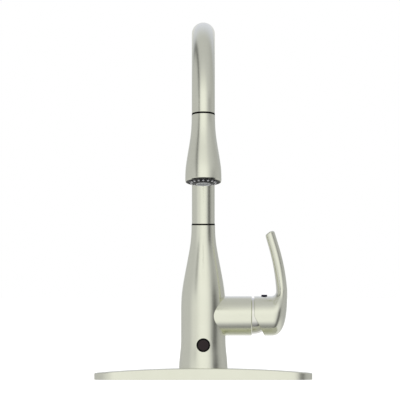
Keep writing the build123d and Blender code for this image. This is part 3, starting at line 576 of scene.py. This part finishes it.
# The shank: a screw thread, whose groove is a trapezoid by the distance from its helix and fades at both
# ends, then a plain neck and a plain bore
def threadedShank():
    turns = np.arange(shank["columns"]) / shank["columns"]
    radius, bore, bottom = shank["radius"], shank["bore"], shank["bottom"]
    height = np.arange(bottom + shank["chamfer"], shank["threadTop"], shank["pitch"] / shank["rowsPerPitch"])
    fromHelix = np.abs((height[:, None] / shank["pitch"] - turns[None, :]) % 1.0 - 0.5)
    groove = (shank["grooveEdge"] - fromHelix) / (shank["grooveEdge"] - shank["grooveFloor"])
    fade = np.clip(np.minimum(height - height[0], height[-1] - height) / shank["runOut"], 0, 1)
    threadRadius = radius - shank["depth"] * np.clip(groove, 0, 1) * fade[:, None]
    neck = radius - shank["relief"]
    above = [(neck, shank["threadTop"]), (neck, shank["reliefTop"]), (radius, shank["reliefTop"]),
             (radius, shank["top"]), (bore, shank["top"]), (bore, bottom)]
    foot = [(bore, bottom), (radius - shank["chamfer"], bottom)]
    grid = np.concatenate([lathe(foot, shank["columns"]),
                           turnedSurface(threadRadius, height, shank["columns"]),
                           lathe(above, shank["columns"])])
    piece = makePiece("threadedShank", "base", "brass", [grid])
    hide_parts("mounting_shank")


threadedShank()
print("shank ready")


# Profiles are (radius, length down the head), in millimetres
nozzles = {
    "count": 16,
    "circle": 14.4,  # radius on which the tips stand
    "tip": [(0.0, 74.9), (1.18, 74.9), (1.18, 81.16), (1.1564, 81.46), (1.0384, 81.74),
            (0.8496, 81.86), (0.525, 81.86), (0.42, 81.66), (0.42, 80.26), (0.0, 80.26)],
    "mat": [(8.65, 73.0), (17.7, 73.0), (17.7, 75.0), (8.65, 75.0), (8.65, 73.0)],
    "tipColumns": 20, "matColumns": 64,
}


# The soft mat: a flat ring with a circle of tips. A tip's profile runs out to a rounded mouth and back down
# its hole
def nozzleMat():
    tip = lathe(nozzles["tip"], nozzles["tipColumns"])
    shapes = [tip + (*place, 0.0) for place in
              circle(np.arange(nozzles["count"]) / nozzles["count"]) * nozzles["circle"]]
    shapes.append(lathe(nozzles["mat"], nozzles["matColumns"]))
    grids = [onHead(fromMillimetres(shape)) for shape in shapes]
    piece = makePiece("nozzleMat", "head", "grey_silicone", grids)
    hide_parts("nozzle_mat")


nozzleMat()
print("nozzles ready")


screen = {
    "radius": 0.00725,
    "wires": 13,  # each way
    "pitch": 0.00105,
    "wire": 0.00017,  # radius of a wire, which ends in a cone of the length below
    "cone": 0.0001,
    "wave": 0.00016,  # how far a wire weaves up and down
    "wireLevel": 0.08148,  # lengths down the head from the seam
    "disc": (0.0809, 0.0811),
    "rows": 56, "wireColumns": 6, "discColumns": 48,
}


# The screen of the aerator: two sets of wires over a solid disc. A wire is a tube about a sine wave, and the
# waves of its neighbours run against each other
def aeratorScreen():
    reach = screen["radius"] - screen["wire"]
    places = (np.arange(screen["wires"]) - screen["wires"] // 2) * screen["pitch"]
    across, upright = circle(np.arange(screen["wireColumns"]) / screen["wireColumns"]).T
    grids = []
    for index, place in enumerate(places):
        half = math.sqrt(reach**2 - place**2)
        along = np.linspace(-half, half, screen["rows"])[:, None]
        lift = screen["wave"] * np.sin(np.pi * (along / screen["pitch"] + index))
        radius = np.clip((half - np.abs(along)) / screen["cone"], 0, 1) * screen["wire"]
        side = place + radius * across
        run = along + 0 * across
        first = np.stack([run, side, screen["wireLevel"] + lift + radius * upright], axis=-1)
        second = np.stack([side, run, screen["wireLevel"] - lift + radius * upright], axis=-1)
        grids += [onHead(first), onHead(second[:, ::-1])]
    low, high = screen["disc"]
    disc = [(0.0, low), (screen["radius"], low), (screen["radius"], high), (0.0, high)]
    grids.append(onHead(lathe(disc, screen["discColumns"])))
    piece = makePiece("aeratorScreen", "head", "grey_plastic", grids)
    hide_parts("aerator_screen")


aeratorScreen()
print("aerator screen ready")


# Lengths are in millimetres, and heights are above the valve's axis
handle = {
    "axisHeight": 75.0,  # of the valve above the counter
    # the cap: its start along the axis, its radius, and the slant of its opening below
    "start": 60.2, "radius": 23.25, "cut": math.radians(27.5),
    "lip": [(0.35, 0.0), (0.12, 0.08), (0.0, 0.35)],  # inwards and back, of the opening's rounded edge
    # its hollow: a ball, with a flat boss on the floor
    "ballX": 59.2, "ballRadius": 21.75, "boss": 7.0, "bossStart": 68.0,
    # the bend: middle and radius of the hollow curve between cap and lever
    "inner": (80.06, 29.25), "hollow": 6.0,
    "reach": (19.0, 52.5), "squareness": (2.45, 3.0),  # of the outer curve, from the same middle
    "neck": 0.33, "neckFall": 4,  # the depth's fall on the way: the share that is even, the power of the rest
    # the lever: its root and top, and how it leans over
    "rootX": 92.56, "rootHeight": 30.0, "leverHeight": 101.0,
    "bow": 240.0, "firstLean": math.radians(4.0), "lastLean": math.radians(16.5),
    "width": (13.0, 11.5), "depth": (24.0, 13.0),  # at the root and the top
    "fall": 4,  # power by which the depth falls
    # its tip: a slant, blunted level at a height, with a rounded edge between them
    "tipAngle": math.radians(40.7), "tipDrop": 1.8, "tipTop": 100.6, "blend": 1.6,
    "crown": 1.2,  # how far below the tip's face the lever's sides end
    # size of the rings that close the tip, and how far below its face each lies
    "closing": [(0.96, 0.6), (0.88, 0.2), (0.76, 0.0), (0.4, 0.0), (0.0, 0.0)],
    "columns": 144, "capRows": 24, "fanRows": 60, "leverRows": 90,
}


# Rings of the handle's cap: from the floor of its hollow out to the opening, which is cut on a slant below,
# and back along the outside. Each is a distance along the axis and a radius. An angle of 0 is the lowest point
def capRings(angle):
    start, radius, ball = handle["start"], handle["radius"], handle["ballRadius"]
    share = np.linspace(0, 1, handle["capRows"])[:, None]
    ahead = start - handle["ballX"]
    slant = np.maximum(np.cos(angle), 0) * math.tan(handle["cut"])
    mouth = (-slant * ahead + np.sqrt(ball**2 * (1 + slant**2) - ahead**2)) / (1 + slant**2)
    narrow = math.asin(handle["boss"] / ball)
    wide = np.arctan2(mouth, ahead + slant * mouth)
    floor = np.array([[handle["bossStart"], 0.0], [handle["bossStart"], handle["boss"]]])
    inside = narrow + share * (wide - narrow)
    inward, back = np.array(handle["lip"]).T[:, :, None]
    lip = start + slant * (radius - inward) + back
    outside = lip[-1] + share[1:-1] * (handle["inner"][0] - lip[-1])
    flat = 0 * angle
    along = np.concatenate([floor[:, :1] + flat, handle["ballX"] + ball * np.cos(inside), lip, outside])
    reach = np.concatenate([floor[:, 1:] + flat, ball * np.sin(inside), radius - inward + flat,
                            radius + 0 * outside])
    return np.stack([along, reach * np.sin(angle), -reach * np.cos(angle)], axis=-1)


# The bend from cap to lever: ellipses whose planes turn about the middle of the hollow curve. The outer end
# of each lies on a rounded square curve, and its depth falls from the cap's radius to half the lever's depth
def fanRings(angle):
    way = np.linspace(0, math.pi / 2, handle["fanRows"])
    wide = handle["reach"][0] * np.sin(way) ** (2 / handle["squareness"][0])
    low = handle["reach"][1] * np.maximum(np.cos(way), 0) ** (2 / handle["squareness"][1])
    tilt = np.arctan2(wide, low)
    outer = np.hypot(wide, low)
    middle, half = (outer + handle["hollow"]) / 2, (outer - handle["hollow"]) / 2
    share = handle["neck"] * np.cos(tilt) + (1 - handle["neck"]) * np.cos(tilt) ** handle["neckFall"]
    leverDepth = handle["depth"][0] / 2
    depth = leverDepth + (handle["radius"] - leverDepth) * share
    reach = middle[:, None] + half[:, None] * np.cos(angle)
    x = handle["inner"][0] + reach * np.sin(tilt)[:, None]
    z = handle["inner"][1] - reach * np.cos(tilt)[:, None]
    return np.stack([x, depth[:, None] * np.sin(angle), z], axis=-1)


# The lever: ellipses square to a line that leans over the cap on an arc and then runs straight. Points past
# the tip's slant or its level top are drawn back along the line, and ever smaller rings close the tip
def leverRings(angle):
    whole = handle["leverRows"] - 1
    size, lower = np.array([(1.0, handle["crown"])] * whole + handle["closing"]).T[:, :, None]
    share = np.ones_like(size)
    share[:whole, 0] = np.linspace(0, 1, handle["leverRows"])[1:]
    rise = share * (handle["leverHeight"] - handle["rootHeight"])
    first, last = handle["firstLean"], handle["lastLean"]
    bent = np.minimum(rise, handle["bow"] * (math.sin(last) - math.sin(first)))
    lean = np.arcsin(math.sin(first) + bent / handle["bow"])
    shift = handle["bow"] * (math.cos(first) - np.cos(lean)) + (rise - bent) * np.tan(lean)
    rootWidth, topWidth = handle["width"]
    rootDepth, topDepth = handle["depth"]
    across = size * (rootWidth + share * (topWidth - rootWidth)) / 2 * np.cos(angle)
    depth = size * (topDepth + (rootDepth - topDepth) * (1 - share) ** handle["fall"]) / 2
    x = handle["rootX"] - shift + across * np.cos(lean)
    z = handle["rootHeight"] + rise + across * np.sin(lean)
    tipX = handle["rootX"] - shift[-1]
    tipZ = handle["leverHeight"] - handle["tipDrop"]
    slantX, slantZ = -math.sin(handle["tipAngle"]), math.cos(handle["tipAngle"])
    slant = (x - tipX) * slantX + (z - tipZ) * slantZ + lower
    slant = slant / (slantZ * np.cos(lean) - slantX * np.sin(lean))
    level = (z - handle["tipTop"] + lower) / np.cos(lean)
    past = (slant + level + np.hypot(slant - level, handle["blend"])) / 2
    past = np.where(size < 1, past, np.maximum(past, 0))
    return np.stack([x + past * np.sin(lean), depth * np.sin(angle), z - past * np.cos(lean)], axis=-1)


# The whole handle is one surface: the rings of cap, bend and lever follow on each other
def handlePiece():
    angle = np.arange(handle["columns"]) * (2 * np.pi / handle["columns"])
    rows = np.concatenate([capRings(angle), fanRings(angle), leverRings(angle)])
    points = fromMillimetres(rows + (0, 0, handle["axisHeight"]))
    piece = makePiece("handleCasting", "handle", "brushed_nickel", [points], look=ownLook["handle_lever"])
    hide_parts("handle_lever")


handlePiece()
print("handle ready")


# Profiles in millimetres, closed from the last point to the first
trim = {
    "columns": 96,
    # radius and length down the head, of the black rim of the spray face over the end of the metal shell
    "faceRim": [(20.58, 79.0), (20.73, 78.92), (20.76, 79.0), (20.48, 79.86), (20.36, 80.08), (20.15, 80.18),
                (19.4, 80.2), (19.05, 80.1), (18.6, 79.68), (18.2, 79.54), (18.2, 79.4), (19.2, 79.4)],
    "faceShift": (0.0, 0.27, 0.0),  # the rim stands forward by this, and so is broader in front
    # of the soft washer on the head's top, against the end of the spout
    "dockWasher": [(12.9, 0.06), (13.52, 0.06), (13.66, 0.14), (13.7, 0.3), (13.7, 0.64), (13.66, 0.7),
                   (13.5, 0.7), (13.4, 0.35), (12.9, 0.35)],
    # and radius and height of the lip of the ring between the neck and the spout
    "neckLip": [(13.3, 182.1), (13.9, 182.06), (13.98, 182.12), (13.99, 182.4), (13.9, 182.5), (13.6, 182.62),
                (13.58, 183.8), (13.54, 183.87), (13.3, 183.87)],
}


# Black trim: a closed profile carried once round the axis, and shifted
def trimRing(name, shift=(0.0, 0.0, 0.0)):
    outline = trim[name] + trim[name][:1]
    return fromMillimetres(lathe(outline, trim["columns"]) + shift)


faceRim = onHead(trimRing("faceRim", trim["faceShift"]))
dockWasher = onHead(trimRing("dockWasher"))
makePiece("faceRim", "head", "black_plastic", [faceRim], look=materials["face_plastic"])
makePiece("dockWasher", "head", "black_plastic", [dockWasher], look=ownLook["dock_sleeve"])
makePiece("neckLip", "base", "black_plastic", [trimRing("neckLip")], look=ownLook["glide_ring"])
print("black trim ready")


# Light of the studio by direction. The azimuth is in degrees from the camera, positive to the right. A pair
# named for X, Y or Z says where a change starts and ends, by that part of the direction
studio = {
    "level": [(-180, 0.86), (-166, 0.84), (-152, 0.56), (-110, 0.61), (-74, 0.61), (-62, 0.74),
              (-54, 0.80), (-38, 0.82), (-28, 0.90), (-14, 1.0), (10, 1.0), (20, 0.96), (30, 0.86),
              (38, 0.69), (45, 0.47), (51, 0.24), (56, 0.15), (67, 0.15), (73, 0.26), (80, 0.41),
              (90, 0.49), (105, 0.55), (150, 0.48), (166, 0.82), (180, 0.86)],
    "high": [(-180, 0.62), (-90, 0.60), (-62, 0.60), (-46, 0.70), (-34, 0.94), (-18, 1.05), (12, 1.05),
             (26, 0.96), (38, 0.80), (50, 0.66), (65, 0.60), (90, 0.53), (125, 0.46), (180, 0.60)],
    "highZ": (0.10, 0.42),
    "overhead": 0.60, "overheadZ": (0.42, 1.06),
    # the bright wall behind, brighter on the right
    "wallY": (0.40, 0.90), "wallZ": (0.05, 0.42), "wallX": (-0.5, 0.3), "wallLeft": 0.20, "wallMore": 0.10,
    "front": (0.0, 0.3),  # the same towards the camera
    "floorZ": (0.46, 0.97), "floorDark": 0.72,  # the floor in front, and how much darker it is
    "backFloorZ": (0.1, 0.6), "backFloor": 0.80,
    # the dark bar over the left, at this x and this wide
    "barX": -0.645, "barWidth": 0.095, "barY": (0.55, 0.95), "barDark": 0.72,
    "wallTint": (0.99, 0.99, 1.035, 1.0), "wallTinted": (0.55, 0.95),  # lost between these levels of light
    "glowTint": (0.90, 0.92, 1.07, 1.0), "glowTinted": 5.0,
    "strength": 0.96,  # for gloss
    "diffuse": 0.72,  # for diffuse light, which is even
}
white = (1.0, 1.0, 1.0, 1.0)


# The world: two rings of greys by azimuth, one for level directions and one for raised ones, which pass into
# an even grey overhead, a darker floor, a bright wall high behind and a dark bar over the left
def studioWorld():
    world = bpy.data.worlds.new("studio")
    bpy.context.scene.world = world
    world.use_nodes = True
    world.cycles.sampling_method = "NONE"
    tree = world.node_tree
    tree.nodes.clear()
    start = Wire(tree)
    x, y, z = start.node("TexCoord").out("Generated").split()
    azimuth = start.calculate("ARCTAN2", x, -y) * (1 / (2 * math.pi)) + 0.5
    greys = []
    for name in ("level", "high"):
        stops = [(angle / 360 + 0.5, (grey, grey, grey, 1.0)) for angle, grey in studio[name]]
        greys.append(azimuth.node("ValToRGB", {"stops": stops}, {0: azimuth}))
    raised = z.rise(*studio["highZ"])
    ring = raised.mix(*greys).along((1 / 3, 1 / 3, 1 / 3))
    light = ring + z.rise(*studio["overheadZ"]) * (studio["overhead"] - ring)
    glow = y.rise(*studio["wallY"]) * z.rise(*studio["wallZ"])
    glow = glow * (x.rise(*studio["wallX"]) * studio["wallMore"] + studio["wallLeft"])
    light = light + glow
    front = (-y).rise(*studio["front"])
    light = light * (1.0 - (-z).rise(*studio["floorZ"]) * front * studio["floorDark"])
    backFloor = (-z).rise(*studio["backFloorZ"]) * (1.0 - front)
    light = light + backFloor * (studio["backFloor"] - light)
    bar = x.bell(studio["barX"], studio["barWidth"]) * raised * (1.0 - y.rise(*studio["barY"]))
    light = light * (1.0 - bar * studio["barDark"])
    tint = light.rise(*studio["wallTinted"]).mix(studio["wallTint"], white)
    tint = (glow * studio["glowTinted"]).clamp().mix(tint, studio["glowTint"])
    path = start.node("LightPath")
    fill = path.out("Is Diffuse Ray")
    camera = path.out("Is Camera Ray")
    plain = fill.larger(camera)
    strength = light * studio["strength"]
    strength = strength + plain * (fill * studio["diffuse"] + camera - strength)
    background = start.node("Background", None, {"Strength": strength, "Color": plain.mix(tint, white)})
    start.node("OutputWorld", None, {"Surface": background})


floorLook = {"size": 8.0, "depth": -0.0003, "colour": (0.80, 0.80, 0.80), "glow": 0.55}


# The floor: a plain sheet that keeps the shadow, and is brightened only for the camera, gloss and glass
def makeFloor():
    reach = floorLook["size"]
    corners = [(-reach, -reach), (reach, -reach), (reach, reach), (-reach, reach)]
    mesh = bpy.data.meshes.new("floor")
    mesh.from_pydata([(x, y, floorLook["depth"]) for x, y in corners], [], [(0, 1, 2, 3)])
    floor = bpy.data.objects.new("floor", mesh)
    bpy.context.scene.collection.objects.link(floor)
    floor.visible_glossy = False
    material, start = startMaterial("paleFloor")
    path = start.node("LightPath")
    seen = path.out("Is Camera Ray") + path.out("Is Glossy Ray") + path.out("Is Transmission Ray")
    diffuse = start.node("BsdfDiffuse", None, {"Color": rgba(floorLook["colour"])})
    glow = start.node("Emission", None, {"Color": white, "Strength": seen * floorLook["glow"]})
    both = start.node("AddShader", None, {0: diffuse, 1: glow})
    start.node("OutputMaterial", None, {"Surface": both})
    mesh.materials.append(material)


lamps = {
    "keyLight": {"place": (-0.9, -1.4, 1.8), "aim": (0, 0, 0.1), "size": 1.6, "watts": 26.0},
    "rimLight": {"place": (1.1, 1.0, 1.6), "aim": (0, 0, 0.2), "size": 1.2, "watts": 8.0},
}


# A round lamp that looks at its aim and isn't seen in the gloss
def softLight(name, place, aim, size, watts):
    data = bpy.data.lights.new(name, "AREA")
    data.shape = "DISK"
    data.size = size
    data.energy = watts
    lamp = bpy.data.objects.new(name, data)
    lamp.location = place
    lamp.rotation_mode = "QUATERNION"
    lamp.rotation_quaternion = (lamp.location - Vector(aim)).to_track_quat("Z", "Y")
    lamp.visible_glossy = False
    bpy.context.scene.collection.objects.link(lamp)


view = {
    "distance": 20.0,
    "centre": (-0.0039, 0.0, 0.2118),
    "above": math.radians(0.35),  # the camera looks down by this
    "width": 0.472,  # what the picture covers at the middle of the body
    "sensor": 36.0,
    "clip": (0.1, 200.0),
}


# A long lens from far off, so that the object is seen almost without perspective
def makeCamera():
    data = bpy.data.cameras.new("camera")
    data.sensor_width = view["sensor"]
    data.lens = view["sensor"] * view["distance"] / view["width"]
    data.clip_start, data.clip_end = view["clip"]
    camera = bpy.data.objects.new("camera", data)
    x, y, z = view["centre"]
    away, up = math.cos(view["above"]), math.sin(view["above"])
    camera.location = (x, y - view["distance"] * away, z + view["distance"] * up)
    camera.rotation_euler = (math.pi / 2 - view["above"], 0, 0)
    bpy.context.scene.collection.objects.link(camera)
    bpy.context.scene.camera = camera


studioWorld()
makeFloor()
for name, lamp in lamps.items():
    softLight(name, **lamp)
makeCamera()
bpy.context.scene.view_settings.view_transform = "Standard"
print("studio ready")
